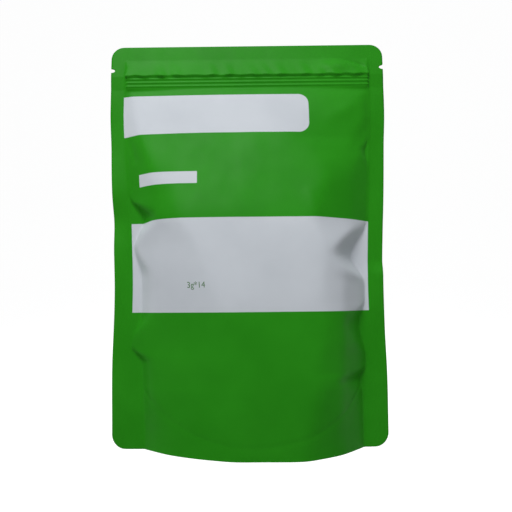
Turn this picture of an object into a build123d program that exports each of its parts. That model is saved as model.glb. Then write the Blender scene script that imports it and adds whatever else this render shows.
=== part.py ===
"""A filled stand-up tea pouch: one welded film bag that stands on its opened bottom gusset.

Millimetres. +Z is up, the printed panel faces -Y, and the origin is the middle of the base.
"""

import math
import os

from build123d import *

# ---- Driving sizes -------------------------------------------------------------------------
pouch_width = 140.0  # across the side seals where the pouch is flat, at the zip
pouch_height = 200.0  # from the foot of the skirt to the top edge
corner_radius = 6.5  # of the four outer corners

seal_thickness = 0.6  # two films welded together
side_seal = 7.5  # width of each side seal
top_seal = 7.5  # height of the weld along the top edge

notch_drop = 12.5  # tear notches, below the top edge
notch_depth = 2.0
notch_height = 2.0

zip_drop = 18.0  # middle of the zip, below the top edge
zip_thickness = 2.2  # both zip halves and both films
zip_ridges = 3
zip_pitch = 1.9
ridge_radius = 0.5
pocket_thickness = 2.6  # loose film between the zip and the top weld

base_half_depth = 19.0  # from the side seals to the front of the skirt
belly_half_depth = 20.0  # the fullest part, a little above the base
belly_height = 34.0
fullness = 1.5  # how roundly the panel falls away from the belly to the zip; 1 is straight
left_shoulder = 24.0  # from each side seal in to the flat of the panel
right_shoulder = 27.0
shoulder_share = 0.92  # of the full depth, reached at the shoulders

gusset_height = 36.0  # where the gusset's fold meets the side seals
skirt_height = 5.5  # of the weld along the bottom, in the middle of the panel
skirt_thickness = 0.8

side_steps = 4  # sections along the side seals
belly_steps = 5  # sections from the belly up to the zip
gusset_steps = 4  # sections under the gusset

# ---- Sizes that follow ---------------------------------------------------------------------
zip_height = (zip_ridges + 0.5) * zip_pitch
zip_level = pouch_height - zip_drop
zip_foot = zip_level - zip_height / 2
pocket_height = zip_drop - zip_height / 2 - top_seal
pocket_edge = pocket_height / 3  # sloping edge on each side of the pocket's flat
flat_half = pouch_width / 2 - side_seal  # half of the open film between the side seals


def half_depth(height):
    """How far the panel stands out from the side seals, from the skirt up to the zip."""
    zip_half = zip_thickness / 2
    if height < belly_height:
        share = (belly_height - height) / belly_height
        return belly_half_depth - (belly_half_depth - base_half_depth) * share**2
    share = (height - belly_height) / (zip_foot - belly_height)
    return zip_half + (belly_half_depth - zip_half) * (1 - share**fullness)


def half_chord(height):
    """From the middle to the inner edge of a side seal, drawn in by the bulge of the film."""
    shoulders = (left_shoulder, right_shoulder)
    slack = sum(math.hypot(shoulder, half_depth(height)) - shoulder for shoulder in shoulders)
    return flat_half - slack / len(shoulders)


def panel_section(height, inset=0.0):
    """The level outline of the filled belly: a flattened lens with a thin edge at each side."""
    depth = half_depth(height) - inset
    tip = half_chord(height) + seal_thickness - 2 * inset
    left = left_shoulder - tip
    right = tip - right_shoulder
    crown = shoulder_share * depth
    front = [(-tip, 0), (left, -crown), ((left + right) / 2, -depth), (right, -crown), (tip, 0)]
    with BuildSketch(Plane.XY.offset(height)) as outline:
        with BuildLine():
            Spline(*front)
            Spline(*[(x, -y) for x, y in front])
        make_face()
    return outline.sketch


# ---- Flat film: side seals, top weld and header, with the tear notches ----------------------
side_points = [
    (half_chord(zip_foot * step / side_steps) + side_seal, zip_foot * step / side_steps)
    for step in range(side_steps + 1)
]
with BuildPart() as film:
    with BuildSketch(Plane.XZ):
        with BuildLine():
            right_side = Spline(*side_points)
            right_head = Line(right_side @ 1, (pouch_width / 2, pouch_height))
            top_edge = Line(right_head @ 1, (-pouch_width / 2, pouch_height))
            left_head = Line(top_edge @ 1, (-side_points[-1][0], zip_foot))
            left_side = Spline(*[(-x, z) for x, z in reversed(side_points)])
            Line(left_side @ 1, right_side @ 0)
        make_face()
        rows = vertices().group_by(Axis.Y)
        fillet(rows[0] + rows[-1], radius=corner_radius)
        with Locations(*[(side * pouch_width / 2, pouch_height - notch_drop) for side in (-1, 1)]):
            SlotOverall(2 * notch_depth, notch_height, mode=Mode.SUBTRACT)
    extrude(amount=seal_thickness / 2, both=True)

# ---- Filled belly ---------------------------------------------------------------------------
belly_rise = (zip_foot - belly_height) / belly_steps
belly_levels = [0, belly_height / 2]
belly_levels += [belly_height + belly_rise * step for step in range(belly_steps + 1)]
with BuildPart() as belly:
    loft(sections=[panel_section(level) for level in belly_levels])

# ---- Zip band with its ridges, and the loose film above it ----------------------------------
with BuildPart() as zip_band:
    with BuildSketch(Plane.YZ.offset(-flat_half)):
        with Locations((0, zip_level)):
            Rectangle(zip_thickness, zip_height)
        with Locations((0, zip_level)):
            with GridLocations(zip_thickness, zip_pitch, 2, zip_ridges):
                Circle(ridge_radius)
    extrude(amount=2 * flat_half)

with BuildPart() as pocket:
    with BuildSketch(Plane.XZ):
        with Locations((0, pouch_height - top_seal - pocket_height / 2)):
            Rectangle(2 * flat_half, pocket_height)
    pocket_slope = math.degrees(math.atan2(pocket_edge, pocket_thickness / 2))
    extrude(amount=pocket_thickness / 2, both=True, taper=pocket_slope)

# ---- Space under the gusset, open below, between the two skirts ------------------------------
with BuildPart() as under_gusset:
    levels = [gusset_height * (step - 1) / gusset_steps for step in range(gusset_steps + 2)]
    loft(sections=[panel_section(level, skirt_thickness) for level in levels])
    with BuildSketch(Plane.XZ.offset(-pouch_width / 2)):
        with BuildLine():
            fold = ThreePointArc(
                (-flat_half, gusset_height), (0, skirt_height), (flat_half, gusset_height)
            )
            Polyline(
                fold @ 1,
                (flat_half, -gusset_height),
                (-flat_half, -gusset_height),
                fold @ 0,
            )
        make_face()
    extrude(amount=pouch_width, mode=Mode.INTERSECT)

# ---- The pouch ------------------------------------------------------------------------------
with BuildPart() as pouch:
    add(film.part)
    add(belly.part)
    add(zip_band.part)
    add(pocket.part)
    add(under_gusset.part, mode=Mode.SUBTRACT)

pouch.part.label = "pouch"
os.makedirs("parts", exist_ok=True)
export_step(pouch.part, "parts/pouch.step")

bounds = pouch.part.bounding_box()
print("pouch", bounds.size, "volume", round(pouch.part.volume), "solids", len(pouch.solids()))
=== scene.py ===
"""Looks of the stand-up tea pouch: its creased printed film, on a pale sweep in soft light.

The film is one closed mesh, made from flat panel coordinates in millimetres: u runs across the
panel from its middle and v runs up from the foot. Relief stands out of the plane of the side
seals, and the width of each level shrinks as film that can't stretch does.
"""

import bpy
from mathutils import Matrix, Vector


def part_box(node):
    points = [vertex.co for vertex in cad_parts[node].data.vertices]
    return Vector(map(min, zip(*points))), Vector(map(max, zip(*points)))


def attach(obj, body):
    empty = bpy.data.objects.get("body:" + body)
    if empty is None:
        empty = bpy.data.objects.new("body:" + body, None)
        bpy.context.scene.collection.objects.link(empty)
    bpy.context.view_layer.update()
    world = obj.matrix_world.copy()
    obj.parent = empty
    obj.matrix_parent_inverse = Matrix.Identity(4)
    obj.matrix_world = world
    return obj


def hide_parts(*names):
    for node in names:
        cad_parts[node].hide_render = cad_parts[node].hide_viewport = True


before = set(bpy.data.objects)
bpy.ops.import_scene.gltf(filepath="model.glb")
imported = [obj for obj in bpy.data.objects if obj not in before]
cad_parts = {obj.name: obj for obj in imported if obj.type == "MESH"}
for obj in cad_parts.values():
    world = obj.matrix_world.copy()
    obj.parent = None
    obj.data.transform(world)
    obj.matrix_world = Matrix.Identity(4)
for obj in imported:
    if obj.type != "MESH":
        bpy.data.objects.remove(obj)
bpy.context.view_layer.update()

import math

import bmesh
import bpy
import numpy as np
from mathutils import Matrix, Vector

MM = 0.001
FRONT, BACK = -1, 1

# ---- Sizes of the pouch, millimetres --------------------------------------------------------
low, high = (np.array(corner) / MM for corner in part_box("pouch"))
HALF_WIDTH = high[0]
HEIGHT = high[2]
SIDE_SEAL = 7.5
OPEN_HALF = HALF_WIDTH - SIDE_SEAL
WELD = 0.5  # thickness of two welded films
EDGE_ROUND = 0.1  # how far the cut edge of the film stands out, for a soft edge
CORNER = 6.5
NOTCH_LEVEL = {-1: 187.2, 1: 187.7}
NOTCH_DEPTH = 2.0
NOTCH_HALF = 1.1
SKIRT_FILM = 0.35
SKIRT_GAP = 0.03  # least gap between a skirt and the plane of the seals

WELD_FOOT = 192.6  # of the weld along the top edge
POCKET_RIDGE = 183.8  # where the loose film above the zip stands out most
ZIP_FOOT = 176.8
ZIP_STAND = 0.9
ZIP_RIDGES = (178.2, 180.1, 181.9)
RIB_STAND, RIB_HALF = 0.28, 0.42  # of each ridge of the zip

CREST = 1.75  # how far the loose film above the zip stands out
CREST_VARIES = 0.3
CREST_CURVE = 1.25  # how hollow the film is from its crest up to the weld; 1 is straight
CREST_DROP = 1.7  # height in which it falls from the crest to the zip
PUCKER_WAVE, PUCKER_SLANT = 8.5, 0.45
SCALLOP_WAVE, SCALLOP_RISE, SCALLOP_DENT = 7.5, 0.35, 0.25

GUSSET_SIDE = 36.0  # height of the gusset's fold at the side seals
GUSSET_MIDDLE = 5.5
GUSSET_SAG = 2.6
GUSSET_RIPPLE, GUSSET_WAVE = 0.25, 24

BROAD_DENT, BROAD_DENT_SIZE = 0.16, 46  # height and spacing of the panel's uneven dents
FINE_DENT, FINE_DENT_SIZE = 0.05, 15
LEVEL_SOFT = 0.14  # rounding where the panel meets the flat film
SEAM_DEPTH, SEAM_HALF = 0.16, 0.9  # of the mark that the gusset's weld leaves
BEAD_STAND, BEAD_HALF = 0.14, 0.5  # of the bead along the inner edge of each side seal

# How the panels are creased. Each list holds (height, value) keys for a smooth curve.
HALF_SPAN = [(0, 65.1), (45, 65.6), (72, 65.4), (100, 66.4), (118, 67.4), (145, 69), (166, 70)]
DEPTH = [(0, 19.2), (28, 19.3), (65, 18.2), (90, 16.6), (107, 14.8), (131, 10.2), (150, 6.2)]
DEPTH += [(171, 2.4), (178, 1.1)]
FRONT_PANEL = {
    "lift": {  # flat film beside the seal, in scallops
        -1: [(0, 8), (30, 7), (40, 6.4), (47.5, 1.2), (52, 1.8), (63, 5.6), (80, 5.4), (95, 2.2)]
        + [(101, 4.0), (108.5, 7.2), (119.5, 1.0), (125, 0)],
        1: [(0, 4), (26, 4.2), (32, 5.4), (39, 0.3), (45, 2.6), (57, 4.8), (69, 1.4), (76, 1.2)]
        + [(90, 7.6), (104, 1.2), (109, 0), (134, 0), (143, 2.2), (151, 0)],
    },
    "flank": {  # sine of the slope that climbs from it
        -1: [(0, 0.6), (30, 0.72), (60, 0.72), (107, 0.8), (178, 0.7)],
        1: [(0, 0.72), (30, 0.8), (60, 0.85), (92, 0.8), (107, 0.7), (178, 0.7)],
    },
    "start": {  # where the broad facet would meet the plane of the seals
        -1: [(0, 2), (30, 0), (107, 0.5), (131, 0)],
        1: [(0, 3.8), (30, 2.6), (60, 1.6), (107, 0.2), (131, 0)],
    },
    "slope": {  # sine of the slope of the broad facet
        -1: [(0, 0.42), (30, 0.38), (60, 0.42), (85, 0.5), (107, 0.53), (131, 0.52), (150, 0.46)]
        + [(178, 0.3)],
        1: [(0, 0.7), (30, 0.74), (60, 0.74), (92, 0.66), (107, 0.6), (125, 0.52), (178, 0.34)],
    },
    "shelf": {  # how far the film stands out where the facet turns to the shoulder
        -1: [(0, 12), (30, 11), (60, 10), (107, 10.5), (131, 8.8), (150, 4.5), (178, 1)],
        1: [(0, 11), (30, 14), (60, 14.5), (92, 11), (107, 7), (125, 7), (142, 3.4), (178, 1)],
    },
    "shoulder": {  # sine of the slope of the shoulder
        -1: [(0, 0.3), (30, 0.3), (60, 0.3), (107, 0.34), (131, 0.16), (150, 0.08)],
        1: [(0, 0.42), (30, 0.4), (60, 0.4), (107, 0.4), (125, 0.34), (142, 0.2), (150, 0.12)],
    },
    "soft": [(0, 0.7), (60, 0.55), (110, 0.45), (150, 0.6), (178, 0.5)],
}
BACK_PANEL = {
    "lift": {
        -1: [(0, 5), (34, 3), (41, 0.6), (58, 5.2), (74, 1.0), (96, 6.0), (112, 0.6), (150, 0)],
        1: [(0, 6), (28, 6.5), (44, 1.0), (62, 5.0), (88, 0.8), (104, 5.6), (121, 0.5), (150, 0)],
    },
    "flank": {
        -1: [(0, 0.66), (60, 0.8), (178, 0.7)],
        1: [(0, 0.66), (60, 0.76), (178, 0.7)],
    },
    "start": {
        -1: [(0, 2), (60, 1.2), (131, 0)],
        1: [(0, 2), (60, 0.6), (131, 0)],
    },
    "slope": {
        -1: [(0, 0.6), (40, 0.66), (92, 0.62), (125, 0.54), (178, 0.34)],
        1: [(0, 0.5), (40, 0.5), (92, 0.56), (125, 0.52), (178, 0.32)],
    },
    "shelf": {
        -1: [(0, 11), (40, 12), (107, 9), (131, 7), (150, 4), (178, 1)],
        1: [(0, 11), (70, 10), (107, 9), (131, 8), (150, 4), (178, 1)],
    },
    "shoulder": {
        -1: [(0, 0.36), (107, 0.38), (131, 0.22), (150, 0.1)],
        1: [(0, 0.34), (60, 0.3), (107, 0.36), (150, 0.1)],
    },
    "soft": [(0, 1.0), (60, 0.8), (110, 0.7), (178, 0.5)],
}
PANELS = {FRONT: FRONT_PANEL, BACK: BACK_PANEL}

# Single folds: start (u, v), end (u, v), half width, and how far the film stands out.
FOLDS = {
    FRONT: [
        ((40, 195.5), (50, 192.8), 1.3, -0.35),
        ((49, 193), (62, 187), 1.2, -0.6),
        ((36, 188.2), (58, 188.4), 3.0, 0.7),
        ((60, 170), (38, 158), 3.5, 0.35),
        ((61, 160), (52, 138), 3.0, -0.45),
        ((-61, 152), (-56, 136), 2.0, -0.3),
        ((-44, 110), (-33, 104), 4.0, 0.35),
        ((28, 122), (33, 106), 3.0, 0.4),
    ],
    BACK: [
        ((-40, 195), (-60, 187.5), 1.4, -0.5),
        ((58, 168), (36, 157), 3.5, 0.35),
        ((-58, 164), (-40, 150), 3.5, 0.35),
        ((20, 126), (30, 108), 4.0, 0.35),
    ],
}

# How far the plane of each side seal stands back (+) or forward (-), by height.
SEAL_WAVE = {
    -1: [(0, 0.6), (36, -0.5), (60, 0.3), (92, -0.6), (108, 0.9), (124, -1.1), (150, 0.4), (176, 0)],
    1: [(0, 0.4), (30, -0.4), (52, 0.5), (80, -0.9), (88, 0.8), (118, -0.2), (150, 0.8), (176, 0)],
}
HEADER_LEAN = 1.0  # degrees back, above the zip
ZIP_LEAN = -5.0


# ---- Curves -----------------------------------------------------------------------------------
def keyed(place, keys):
    """A smooth curve through (place, value) keys that is level at each turning point."""
    places, values = np.array(keys, float).T
    steps = np.diff(places)
    rises = np.diff(values) / steps
    slopes = np.zeros(len(places))
    both = rises[1:] * rises[:-1]
    total = np.where(both > 0, rises[1:] + rises[:-1], 1)
    slopes[1:-1] = np.where(both > 0, 2 * both / total, 0)
    first = np.clip(np.searchsorted(places, place) - 1, 0, len(steps) - 1)
    t = np.clip((place - places[first]) / steps[first], 0, 1)
    start, end = values[first], values[first + 1]
    lead, trail = slopes[first] * steps[first], slopes[first + 1] * steps[first]
    blend = t * t * (3 - 2 * t)
    return start + (end - start) * blend + lead * t * (1 - t) ** 2 - trail * t * t * (1 - t)


def rise(place, start, end):
    """From 0 at start to 1 at end, level at both."""
    t = np.clip((place - start) / (end - start), 0, 1)
    return t * t * (3 - 2 * t)


def soft_least(fields, soft):
    """The least of the fields, rounded over about the length soft."""
    fields = [field / soft for field in np.broadcast_arrays(*fields)]
    floor = np.minimum.reduce(fields)
    return soft * (floor - np.log(sum(np.exp(floor - field) for field in fields)))


def soft_positive(field, soft):
    return soft * np.logaddexp(0, field / soft)


def ripple(place, wave, seed, waves=4):
    """A smooth uneven ripple of about -1 to 1, made of a few sines near the wavelength wave."""
    random = np.random.default_rng(seed)
    total = 0
    for _ in range(waves):
        length = wave * random.uniform(0.7, 1.6)
        total = total + np.sin(2 * math.pi * (place / length + random.random()))
    return total / waves**0.5 / 1.3


def dents(u, v, size, seed, waves=14):
    """Broad uneven dents of about -1 to 1 over the panel."""
    random = np.random.default_rng(seed)
    total = 0
    for _ in range(waves):
        turn = random.uniform(0, math.pi)
        length = size * random.uniform(0.7, 1.8)
        along = u * math.cos(turn) + v * math.sin(turn)
        total = total + np.sin(2 * math.pi * (along / length + random.random()))
    return total / waves**0.5


def fold(u, v, start, end, half_width, stand):
    """A fold along a line that fades out at both ends."""
    start, end = np.array(start, float), np.array(end, float)
    length = np.linalg.norm(end - start)
    along = (end - start) / length
    t = ((u - start[0]) * along[0] + (v - start[1]) * along[1]) / length
    off = (u - start[0]) * along[1] - (v - start[1]) * along[0]
    taper = np.clip(4 * t * (1 - t), 0, 1) * (t > 0) * (t < 1)
    return stand * taper * np.exp(-((off / half_width) ** 2))


# ---- Shape of the film ------------------------------------------------------------------------
def panel_relief(u, v, side):
    """The filled panel: a front between two creased facets, with flat film beside the seals."""
    panel = PANELS[side]
    fields = [keyed(v, DEPTH) - (u / OPEN_HALF) ** 2]
    for end in (-1, 1):
        inward = OPEN_HALF - end * u
        start, slope = keyed(v, panel["start"][end]), keyed(v, panel["slope"][end])
        shelf = keyed(v, panel["shelf"][end])
        turn = start + shelf / slope
        fields.append(keyed(v, panel["flank"][end]) * (inward - keyed(v, panel["lift"][end])))
        fields.append(slope * (inward - start))
        fields.append(shelf + keyed(v, panel["shoulder"][end]) * (inward - turn))
    crisp = 0.3 + 0.7 * rise(OPEN_HALF - abs(u), 4, 18)
    relief = soft_positive(soft_least(fields, crisp * keyed(v, panel["soft"])), LEVEL_SOFT)
    inside = rise(OPEN_HALF - abs(u), 6, 24) * (1 - rise(v, 150, 172))
    seed = 3 if side == FRONT else 8
    broad = BROAD_DENT * inside * dents(u, v, BROAD_DENT_SIZE, seed)
    fine = FINE_DENT * inside * dents(u, v, FINE_DENT_SIZE, seed + 1)
    return relief + broad + fine


def header_relief(u, v, side):
    """The zip with its ridges, and the puckered loose film between it and the top weld."""
    seed = 21 if side == FRONT else 27
    slant = PUCKER_SLANT * (v - POCKET_RIDGE)
    scallop = ripple(u, SCALLOP_WAVE, seed)
    ridge = POCKET_RIDGE + SCALLOP_RISE * scallop
    pucker = ripple(u + slant, PUCKER_WAVE, seed + 1)
    crest = CREST + CREST_VARIES * pucker - SCALLOP_DENT * scallop
    above = crest * np.clip((WELD_FOOT - v) / (WELD_FOOT - ridge), 0, 1) ** CREST_CURVE
    below = ZIP_STAND + (crest - ZIP_STAND) * (1 - rise(ridge - v, 0, CREST_DROP))
    for level in ZIP_RIDGES:
        below = below + RIB_STAND * np.exp(-(((v - level) / RIB_HALF) ** 2))
    ends = rise(OPEN_HALF - abs(u), -0.3, 1.6)
    return ends * np.where(v > ridge, above, below)


def gusset_line(u):
    """Height of the weld between the panels and the gusset, an arc from seal to seal."""
    sag = GUSSET_SIDE - GUSSET_MIDDLE
    radius = (OPEN_HALF**2 + sag**2) / (2 * sag)
    across = np.clip(abs(u), 0, OPEN_HALF)
    return GUSSET_MIDDLE + radius - np.sqrt(radius**2 - across**2)


def relief(u, v, side):
    """How far the outside of one panel stands out from the plane of the seals."""
    total = panel_relief(u, v, side)
    into_header = rise(v, ZIP_FOOT - 1.5, ZIP_FOOT + 0.6)
    total = total + (header_relief(u, v, side) - total) * into_header
    for start, end, half_width, stand in FOLDS[side]:
        total = total + fold(u, v, start, end, half_width, stand)
    seam = (v - gusset_line(u)) / SEAM_HALF
    total = total - SEAM_DEPTH * np.exp(-(seam**2)) * (abs(u) < OPEN_HALF)
    bead = (abs(u) - OPEN_HALF + BEAD_HALF) / BEAD_HALF
    total = total + BEAD_STAND * np.exp(-(bead**2)) * rise(v, 60, 110) * (v < WELD_FOOT)
    return np.maximum(total, 0) + WELD / 2


def mid_plane(u, v):
    """How far back (+) or forward (-) the plane of the seals stands."""
    lean = math.tan(math.radians(ZIP_LEAN)) * np.clip(v - ZIP_FOOT, 0, POCKET_RIDGE - ZIP_FOOT)
    lean = lean + math.tan(math.radians(HEADER_LEAN)) * np.clip(v - POCKET_RIDGE, 0, None)
    outside = rise(abs(u), OPEN_HALF - 4, HALF_WIDTH)
    wave = np.where(u < 0, keyed(v, SEAL_WAVE[-1]), keyed(v, SEAL_WAVE[1]))
    return lean + outside * wave * (1 - rise(v, ZIP_FOOT - 10, ZIP_FOOT))


def edge(v, end):
    """Flat half width at each level: corners, and the tear notch."""
    from_corner = CORNER - np.minimum(np.minimum(v, HEIGHT - v), CORNER)
    corner = CORNER - np.sqrt(np.maximum(CORNER**2 - from_corner**2, 0))
    across = np.clip(1 - ((v - NOTCH_LEVEL[end]) / NOTCH_HALF) ** 2, 0, 1)
    return HALF_WIDTH - corner - NOTCH_DEPTH * np.sqrt(across)


def levels():
    """Heights of the mesh rows: close together at corners, notches and the zip."""
    turn = np.linspace(0, math.pi / 2, 9)
    foot = CORNER * (1 - np.cos(turn))
    body = np.arange(CORNER + 1, ZIP_FOOT - 1, 1.0)
    header = np.arange(ZIP_FOOT - 0.8, NOTCH_LEVEL[-1] - NOTCH_HALF - 0.1, 0.26)
    notch = np.arange(NOTCH_LEVEL[-1] - NOTCH_HALF, NOTCH_LEVEL[1] + NOTCH_HALF + 0.1, 0.14)
    weld = np.arange(notch[-1] + 0.4, HEIGHT - CORNER, 0.5)
    top = HEIGHT - foot[::-1]
    return np.concatenate([foot, body, header, notch, weld, top])


def columns():
    """Places of the mesh columns between the seals, close together beside them."""
    beside = OPEN_HALF - np.concatenate([np.arange(0, 3, 0.4), np.arange(3, 14, 0.7)])
    middle = np.linspace(-beside[-1], beside[-1], 86)[1:-1]
    return np.concatenate([-beside, middle, beside[::-1]])


def skin(side):
    """Rows of u, v, and of points in millimetres, for one whole panel with its seals."""
    v = levels()[:, None]
    inner = columns()
    share = np.linspace(0, 1, 9)[1:]
    parts = []
    for end in (-1, 1):
        flange = OPEN_HALF + share * (edge(v, end) - OPEN_HALF)
        parts.append(end * (flange[:, ::-1] if end < 0 else flange))
    u = np.concatenate([parts[0], np.broadcast_to(inner, (len(v), len(inner))), parts[1]], axis=1)
    v = np.broadcast_to(v, u.shape)
    y = mid_plane(u, v) + side * relief(u, v, side)
    across, out = np.diff(u), np.diff(y)
    width = np.sqrt(np.maximum(across**2 - out**2, (0.15 * across) ** 2))
    x = np.concatenate([np.zeros((len(u), 1)), np.cumsum(width, axis=1)], axis=1)
    first, last = len(share), u.shape[1] - 1 - len(share)
    span = keyed(v[:, :1], HALF_SPAN) - SIDE_SEAL
    left, right = x[:, first : first + 1], x[:, last : last + 1]
    inside = (2 * (x - left) / (right - left) - 1) * span
    x = np.where(u < -OPEN_HALF, x - left - span, np.where(u > OPEN_HALF, x - right + span, inside))
    return u, v, np.stack([x, y, v], axis=-1), (first, last)


def sampler(u, v, points):
    """A function that gives the point of the skin at (u, v), between its seals."""
    rows, places = v[:, 0], u[0]

    def sample(at_u, at_v):
        row = np.clip(np.searchsorted(rows, at_v) - 1, 0, len(rows) - 2)
        column = np.clip(np.searchsorted(places, at_u) - 1, 0, len(places) - 2)
        down = ((at_v - rows[row]) / (rows[row + 1] - rows[row]))[..., None]
        over = ((at_u - places[column]) / (places[column + 1] - places[column]))[..., None]
        near = points[row, column] * (1 - over) + points[row, column + 1] * over
        far = points[row + 1, column] * (1 - over) + points[row + 1, column + 1] * over
        return near * (1 - down) + far * down

    return sample


# ---- Mesh ---------------------------------------------------------------------------------------
class Sheets:
    """Grids of points that become one mesh, each with its flat place and its map place."""

    def __init__(self):
        self.points, self.flat, self.faces, self.maps = [], [], [], []
        self.count = 0

    def add(self, points, flat, chart):
        rows, width = points.shape[:2]
        index = self.count + np.arange(rows * width).reshape(rows, width)
        quads = [index[:-1, :-1], index[:-1, 1:], index[1:, 1:], index[1:, :-1]]
        self.faces.append(np.stack(quads, axis=-1).reshape(-1, 4))
        self.points.append(points.reshape(-1, 3))
        self.flat.append(flat.reshape(-1, 3))
        self.maps.append(chart.reshape(-1, 2))
        self.count += rows * width

    def build(self, name):
        mesh = bpy.data.meshes.new(name)
        points = np.concatenate(self.points) * MM
        faces = np.concatenate(self.faces)
        mesh.from_pydata(points.tolist(), [], faces.tolist())
        flat = mesh.attributes.new("flat", "FLOAT_VECTOR", "CORNER")
        corners = faces.reshape(-1)
        flat.data.foreach_set("vector", np.concatenate(self.flat)[corners].astype("f").ravel())
        chart = mesh.uv_layers.new(name="OFBake")
        chart.data.foreach_set("uv", np.concatenate(self.maps)[corners].astype("f").ravel())
        mesh.polygons.foreach_set("use_smooth", np.ones(len(faces), bool))
        work = bmesh.new()
        work.from_mesh(mesh)
        bmesh.ops.remove_doubles(work, verts=work.verts, dist=0.002 * MM)
        bmesh.ops.dissolve_degenerate(work, edges=work.edges, dist=0.002 * MM)
        bmesh.ops.recalc_face_normals(work, faces=work.faces)
        work.to_mesh(mesh)
        work.free()
        piece = bpy.data.objects.new(name, mesh)
        bpy.context.scene.collection.objects.link(piece)
        return piece


CHART = 2 * (2 * HALF_WIDTH + 5)  # millimetres across the whole map
SKIRT_STEPS, GUSSET_STEPS = 8, 15  # mesh rows
RIM_ROWS = (8.0, 6.5, 5.0)  # places of the cut edge, down from the top of the map


def chart_at(x, y):
    return np.stack(np.broadcast_arrays(x, y), axis=-1) / CHART + 0.004


def add_rim(sheets, skins, ends):
    """The cut edge of the welded film: up the left seal, along the top and down the right."""
    first, last = ends
    rows, width = skins[FRONT][0].shape
    path = [(0, column) for column in range(first, 0, -1)]
    path += [(row, 0) for row in range(rows - 1)]
    path += [(rows - 1, column) for column in range(width - 1)]
    path += [(row, width - 1) for row in range(rows - 1, 0, -1)]
    path += [(0, column) for column in range(width - 1, last - 1, -1)]
    row, column = np.array(path).T
    faces = [skins[side][2][row, column] for side in (FRONT, BACK)]
    middle = (faces[0] + faces[1]) / 2
    along = np.gradient(middle, axis=0)
    along /= np.linalg.norm(along, axis=1, keepdims=True)
    outward = np.stack([-along[:, 2], 0 * along[:, 1], along[:, 0]], axis=1)
    bulge = middle + EDGE_ROUND * outward
    bulge[[0, -1]] = middle[[0, -1]]
    bulge[:, 0] = np.clip(bulge[:, 0], low[0], high[0])
    bulge[:, 2] = np.clip(bulge[:, 2], low[2], high[2])
    points = np.stack([faces[0], bulge, faces[1]])
    u, v = (skins[FRONT][part][row, column] for part in (0, 1))
    flat = np.stack([np.stack([u, v, side + 0 * u], axis=-1) for side in (FRONT, 0, BACK)])
    run = np.linspace(0, CHART - 4, len(row))
    chart = chart_at(run[None, :], CHART - np.array(RIM_ROWS)[:, None])
    sheets.add(points, flat, chart)


def gusset_strips(u, front, back):
    """Rows across the opened gusset, sagging and rippled between its two welds."""
    sag = GUSSET_SAG * (1 - (abs(u) / OPEN_HALF) ** 2)
    strips = []
    for share in np.linspace(0, 1, GUSSET_STEPS)[1:-1]:
        across = front + (back - front) * share
        across[:, 2] -= sag * 4 * share * (1 - share)
        uneven = GUSSET_RIPPLE * ripple(u + 30 * share, GUSSET_WAVE, 5)
        across[:, 2] += rise(OPEN_HALF - abs(u), 0, 12) * uneven
        strips.append(across)
    return strips


def add_underside(sheets, skins, samples, ends):
    """The inside of both skirts and the opened gusset between them."""
    first, last = ends
    u = skins[FRONT][0][0, first : last + 1]
    weld = gusset_line(u)
    middle = mid_plane(u, 0 * u)
    foot = [skins[side][2][0, first : last + 1] for side in (FRONT, BACK)]

    def inner(side, share):
        at = samples[side](u, weld * share)
        at[:, 1] = side * np.maximum(side * (at[:, 1] - middle) - SKIRT_FILM, SKIRT_GAP) + middle
        at[[0, -1], 1] = middle[[0, -1]]
        return at

    skirt = np.linspace(0, 1, SKIRT_STEPS)
    front_skirt = [inner(FRONT, share) for share in skirt]
    back_skirt = [inner(BACK, share) for share in skirt[::-1]]
    gusset = gusset_strips(u, inner(FRONT, 1), inner(BACK, 1))
    points = np.stack([foot[0], *front_skirt, *gusset, *back_skirt, foot[1]])
    flat = np.zeros(points.shape)
    flat[..., 0] = u
    up = np.linspace(0, 76, len(points))[:, None]
    chart = chart_at(u[None, :] + HALF_WIDTH, HEIGHT + 4 + up)
    sheets.add(points, flat, chart)


def build_pouch():
    skins = {side: skin(side) for side in (FRONT, BACK)}
    samples = {}
    sheets = Sheets()
    for side, (u, v, points, ends) in skins.items():
        samples[side] = sampler(u[:, ends[0] : ends[1] + 1], v, points[:, ends[0] : ends[1] + 1])
        flat = np.stack([u, v, side + 0 * u], axis=-1)
        shift = HALF_WIDTH if side == FRONT else 3 * HALF_WIDTH + 5
        sheets.add(points, flat, chart_at(u + shift, v))
    add_rim(sheets, skins, ends)
    add_underside(sheets, skins, samples, ends)
    return sheets.build("pouch_film"), samples


# ---- Material -----------------------------------------------------------------------------------
class Nodes:
    """Short calls for building a node tree."""

    def __init__(self, tree):
        self.tree = tree
        tree.nodes.clear()

    def put(self, kind, inputs=None, **settings):
        node = self.tree.nodes.new(kind)
        for name, value in settings.items():
            setattr(node, name, value)
        for name, value in (inputs or {}).items():
            self.feed(node.inputs[name], value)
        return node

    def feed(self, socket, value):
        if isinstance(value, bpy.types.NodeSocket):
            self.tree.links.new(value, socket)
        else:
            socket.default_value = value

    def maths(self, operation, first, second=0.0):
        node = self.put("ShaderNodeMath", {0: first, 1: second}, operation=operation)
        return node.outputs[0]

    def vector(self, operation, first, second=(0, 0, 0)):
        node = self.put("ShaderNodeVectorMath", {0: first, 1: second}, operation=operation)
        return node.outputs["Value" if operation == "LENGTH" else "Vector"]

    def spread(self, value, low_in, high_in, low_out=0.0, high_out=1.0):
        values = {"Value": value, "From Min": low_in, "From Max": high_in}
        values.update({"To Min": low_out, "To Max": high_out})
        return self.put("ShaderNodeMapRange", values).outputs["Result"]

    def mix(self, share, first, second):
        node = self.put("ShaderNodeMix", data_type="RGBA")
        self.feed(node.inputs["Factor"], share)
        self.feed(node.inputs["A"], first)
        self.feed(node.inputs["B"], second)
        return node.outputs["Result"]

    def noise(self, place, scale, detail=2.0, roughness=0.5):
        values = {"Vector": place, "Scale": scale, "Detail": detail, "Roughness": roughness}
        return self.put("ShaderNodeTexNoise", values).outputs["Fac"]


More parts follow.
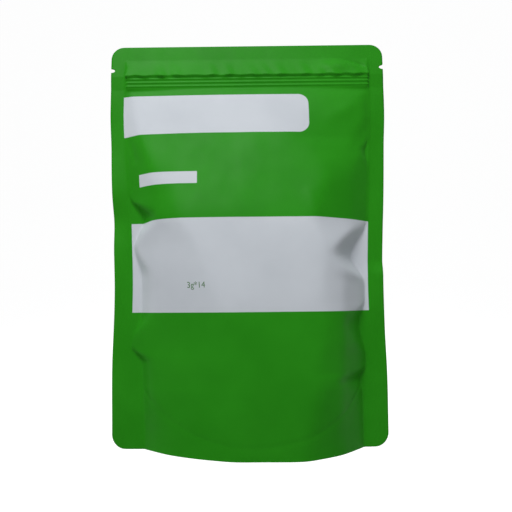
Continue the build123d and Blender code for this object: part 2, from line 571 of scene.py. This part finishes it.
# Printed fields in flat millimetres: left, right, foot, top, corner radius, leftmost ink.
FRONT_PRINT = [
    (-80, 30.8, 151.4, 172.9, 5.2, -63.2),
    (-61.2, 62.6, 63.4, 107.0, 0.2, -61.2),
    (-54.4, -24.0, 124.4, 130.6, 0.3, -54.4),
]
BACK_PRINT = [
    (-80, 80, 151.4, 172.9, 0.2, -62.6),
    (-80, 80, 63.4, 107.0, 0.2, -62.6),
]
INK_EDGE = 0.12  # half the width over which ink fades out
INK_OVERHANG = 2.0  # how much further out ink may reach on the right than on the left
GREEN = (0.022, 0.265, 0.008, 1)
GREEN_DEEP = (0.018, 0.236, 0.006, 1)
INK = (0.60, 0.635, 0.68, 1)
INK_DULL = (0.565, 0.60, 0.645, 1)
TEXT_INK = (0.075, 0.17, 0.07, 1)
TEXT_INK_PALE = (0.10, 0.21, 0.09, 1)
SMOOTHEST, ROUGHEST = 0.38, 0.46
INK_DULLER = 0.08
FILM_SPECULAR = 0.06
GRAIN_HEIGHT, CRINKLE_HEIGHT, RIB_HEIGHT = 0.006, 0.04, 0.012  # millimetres, before the bump's strength
RIB_PITCH = 1.25


def printed_field(nodes, place, across, field):
    """1 inside a rounded rectangle of ink, 0 outside."""
    left, right, foot, top, radius, ink_start = field
    centre = ((left + right) / 2, (foot + top) / 2, 0)
    half = ((right - left) / 2 - radius, (top - foot) / 2 - radius, 0)
    off = nodes.vector("ABSOLUTE", nodes.vector("SUBTRACT", place, centre))
    off = nodes.vector("MAXIMUM", nodes.vector("SUBTRACT", off, half), (0, 0, 0))
    distance = nodes.vector("LENGTH", off)
    inside = nodes.spread(distance, radius + INK_EDGE, radius - INK_EDGE)
    started = nodes.spread(across, ink_start - INK_EDGE, ink_start + INK_EDGE)
    ink_end = INK_OVERHANG - ink_start
    ended = nodes.spread(across, ink_end + INK_EDGE, ink_end - INK_EDGE)
    return nodes.maths("MULTIPLY", nodes.maths("MULTIPLY", inside, started), ended)


def print_mask(nodes, across, up, side):
    """1 where either panel carries ink, 0 elsewhere."""
    place = nodes.put("ShaderNodeCombineXYZ", {"X": across, "Y": up}).outputs["Vector"]
    ink = 0.0
    for sign, fields in ((FRONT, FRONT_PRINT), (BACK, BACK_PRINT)):
        shown = nodes.spread(nodes.maths("MULTIPLY", side, float(sign)), 0.4, 0.6)
        for field in fields:
            mask = nodes.maths("MULTIPLY", printed_field(nodes, place, across, field), shown)
            ink = nodes.maths("MAXIMUM", ink, mask)
    return ink


def film_normal(nodes, flat, across):
    """Fine grain and crinkles all over, and the ribs pressed into the side seals."""
    grain = nodes.maths("MULTIPLY", nodes.noise(flat, 2.4, 2.0, 0.6), GRAIN_HEIGHT)
    stretched = nodes.vector("MULTIPLY", flat, (1.0, 0.8, 1.0))
    crinkle = nodes.maths("MULTIPLY", nodes.noise(stretched, 0.16, 4.0, 0.55), CRINKLE_HEIGHT)
    inner_edge = OPEN_HALF + 0.1
    at_seal = nodes.spread(nodes.maths("ABSOLUTE", across), inner_edge, inner_edge + 0.5)
    ribs = nodes.maths("SINE", nodes.maths("MULTIPLY", across, 2 * math.pi / RIB_PITCH))
    ribs = nodes.maths("MULTIPLY", nodes.maths("MULTIPLY", ribs, at_seal), RIB_HEIGHT)
    height = nodes.maths("ADD", nodes.maths("ADD", grain, ribs), crinkle)
    bump = nodes.put("ShaderNodeBump", {"Height": height, "Strength": 0.5, "Distance": MM})
    return bump.outputs["Normal"]


def film_roughness(nodes, flat, ink):
    """Satin, with broad smeared patches; ink is a little duller than bare film."""
    smear = nodes.noise(nodes.vector("MULTIPLY", flat, (0.7, 0.4, 1.0)), 0.2, 3.0)
    patchy = nodes.spread(smear, 0.3, 0.7, SMOOTHEST, ROUGHEST)
    return nodes.maths("ADD", patchy, nodes.maths("MULTIPLY", ink, INK_DULLER))


def film_material():
    material = bpy.data.materials.new("printed_film")
    material.use_nodes = True
    nodes = Nodes(material.node_tree)
    flat = nodes.put("ShaderNodeAttribute", attribute_name="flat").outputs["Vector"]
    across, up, side = nodes.put("ShaderNodeSeparateXYZ", {"Vector": flat}).outputs
    ink = print_mask(nodes, across, up, side)
    tone = nodes.spread(nodes.noise(flat, 0.035, 3.0), 0.35, 0.65)
    green = nodes.mix(tone, GREEN, GREEN_DEEP)
    white = nodes.mix(tone, INK, INK_DULL)
    settings = {
        "Base Color": nodes.mix(ink, green, white),
        "Roughness": film_roughness(nodes, flat, ink),
        "Specular IOR Level": FILM_SPECULAR,
        "Normal": film_normal(nodes, flat, across),
    }
    shader = nodes.put("ShaderNodeBsdfPrincipled", settings)
    nodes.put("ShaderNodeOutputMaterial", {"Surface": shader.outputs["BSDF"]})
    return material


def ink_material():
    material = bpy.data.materials.new("text_ink")
    material.use_nodes = True
    nodes = Nodes(material.node_tree)
    place = nodes.put("ShaderNodeTexCoord").outputs["Object"]
    patchy = nodes.spread(nodes.noise(place, 900.0), 0.35, 0.65)
    colour = nodes.mix(patchy, TEXT_INK, TEXT_INK_PALE)
    settings = {"Base Color": colour, "Roughness": 0.5, "Specular IOR Level": 0.35}
    shader = nodes.put("ShaderNodeBsdfPrincipled", settings)
    nodes.put("ShaderNodeOutputMaterial", {"Surface": shader.outputs["BSDF"]})
    return material


# ---- The printed weight -----------------------------------------------------------------------
TEXT_LEFT, TEXT_FOOT = -29.0, 74.6
TEXT_SIZE = 3.9
TEXT_STAND = 0.05  # ink stands clear of the film, so that it isn't lost in it


def build_weight(sample):
    """The pack's plain weight, laid on the film."""
    curve = bpy.data.curves.new("weight", "FONT")
    curve.body = "3g*14"
    curve.size = TEXT_SIZE
    curve.extrude = TEXT_STAND
    curve.resolution_u = 4
    source = bpy.data.objects.new("weight_outline", curve)
    mesh = bpy.data.meshes.new_from_object(source)
    bpy.data.objects.remove(source)
    count = len(mesh.vertices)
    found = np.empty(count * 3)
    mesh.vertices.foreach_get("co", found)
    found = found.reshape(-1, 3)
    points = sample(found[:, 0] + TEXT_LEFT, found[:, 1] + TEXT_FOOT)
    points[:, 1] -= found[:, 2]
    mesh.vertices.foreach_set("co", (points * MM).ravel())
    mesh.update()
    piece = bpy.data.objects.new("weight_text", mesh)
    bpy.context.scene.collection.objects.link(piece)
    return piece


# ---- Setting ------------------------------------------------------------------------------------
SWEEP_GLOW = 0.92  # seen by the camera and in reflections; it sheds no diffuse light
SWEEP_PAPER = 0.35
ROOM_LIGHT = 0.2

# Lamps: name, place and size in metres, watts.
LAMPS = [
    ("key", (-0.12, -0.42, 0.6), (0.4, 0.3), 3.95),
    ("back_fill", (0.0, 0.6, 0.95), (0.5, 0.4), 7.0),
]


def sweep_mesh():
    """A pale floor that curves up into a wall behind the pouch, metres."""
    wide, front, back, bend, tall = 3.0, -2.4, 1.3, 0.6, 2.6
    turn = np.linspace(0, math.pi / 2, 13)
    profile = [(front, 0.0), (0.0, 0.0)]
    profile += [(back + bend * math.sin(a), bend * (1 - math.cos(a))) for a in turn]
    profile.append((back + bend, tall))
    points = [(x, y, z) for y, z in profile for x in (-wide, wide)]
    faces = [(2 * i, 2 * i + 1, 2 * i + 3, 2 * i + 2) for i in range(len(profile) - 1)]
    mesh = bpy.data.meshes.new("sweep")
    mesh.from_pydata(points, [], faces)
    mesh.polygons.foreach_set("use_smooth", np.ones(len(faces), bool))
    return mesh


def build_sweep():
    mesh = sweep_mesh()
    sweep = bpy.data.objects.new("sweep", mesh)
    bpy.context.scene.collection.objects.link(sweep)
    material = bpy.data.materials.new("sweep_paper")
    material.use_nodes = True
    nodes = Nodes(material.node_tree)
    path = nodes.put("ShaderNodeLightPath").outputs
    seen = nodes.maths("MAXIMUM", path["Is Camera Ray"], path["Is Glossy Ray"])
    seen = nodes.maths("MAXIMUM", seen, path["Is Transmission Ray"])
    glow = nodes.put("ShaderNodeEmission", {"Strength": nodes.maths("MULTIPLY", seen, SWEEP_GLOW)})
    paper = nodes.put("ShaderNodeBsdfDiffuse", {"Color": (SWEEP_PAPER, SWEEP_PAPER, SWEEP_PAPER, 1)})
    both = nodes.put("ShaderNodeAddShader", {0: glow.outputs[0], 1: paper.outputs[0]})
    nodes.put("ShaderNodeOutputMaterial", {"Surface": both.outputs[0]})
    mesh.materials.append(material)
    return sweep


def add_area_light(name, place, target, size, power):
    light = bpy.data.lights.new(name, "AREA")
    light.shape = "RECTANGLE"
    light.size, light.size_y = size
    light.energy = power
    lamp = bpy.data.objects.new(name, light)
    lamp.location = place
    facing = Vector(target) - Vector(place)
    lamp.rotation_euler = facing.to_track_quat("-Z", "Y").to_euler()
    bpy.context.scene.collection.objects.link(lamp)


def add_lights():
    middle = (0, 0, 0.6 * HEIGHT * MM)
    for name, place, size, power in LAMPS:
        add_area_light(name, place, middle, size, power)
    world = bpy.data.worlds.new("room")
    bpy.context.scene.world = world
    world.use_nodes = True
    nodes = Nodes(world.node_tree)
    path = nodes.put("ShaderNodeLightPath").outputs
    seen = nodes.maths("MAXIMUM", path["Is Camera Ray"], path["Is Glossy Ray"])
    level = nodes.spread(seen, 0.0, 1.0, ROOM_LIGHT, 1.0)
    room = nodes.put("ShaderNodeBackground", {"Color": (0.96, 0.98, 1.0, 1), "Strength": level})
    nodes.put("ShaderNodeOutputWorld", {"Surface": room.outputs[0]})


CAMERA_PLACE = (4.1, -211.3, 66.7)  # millimetres: close, and a third of the way up
CAMERA_PITCH, CAMERA_YAW, CAMERA_ROLL = 6.41, 0.12, -0.62  # degrees
CAMERA_LENS = 30.375  # millimetres, on the usual 36 mm wide sensor


def add_camera():
    camera = bpy.data.cameras.new("camera")
    camera.lens = CAMERA_LENS
    camera.sensor_width = 36.0
    camera.clip_start = 0.01
    holder = bpy.data.objects.new("camera", camera)
    yaw, pitch, roll = (math.radians(a) for a in (CAMERA_YAW, 90 + CAMERA_PITCH, CAMERA_ROLL))
    holder.matrix_world = Matrix.Translation(Vector(CAMERA_PLACE) * MM)
    for angle, axis in ((yaw, "Z"), (pitch, "X"), (roll, "Z")):
        holder.matrix_world = holder.matrix_world @ Matrix.Rotation(angle, 4, axis)
    bpy.context.scene.collection.objects.link(holder)
    bpy.context.scene.camera = holder


# ---- Scene --------------------------------------------------------------------------------------
pouch, samples = build_pouch()
pouch.data.materials.append(film_material())
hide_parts("pouch")
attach(pouch, "root")

weight = build_weight(samples[FRONT])
weight.data.materials.append(ink_material())
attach(weight, "root")

build_sweep()
add_lights()
add_camera()
bpy.context.scene.view_settings.view_transform = "Standard"
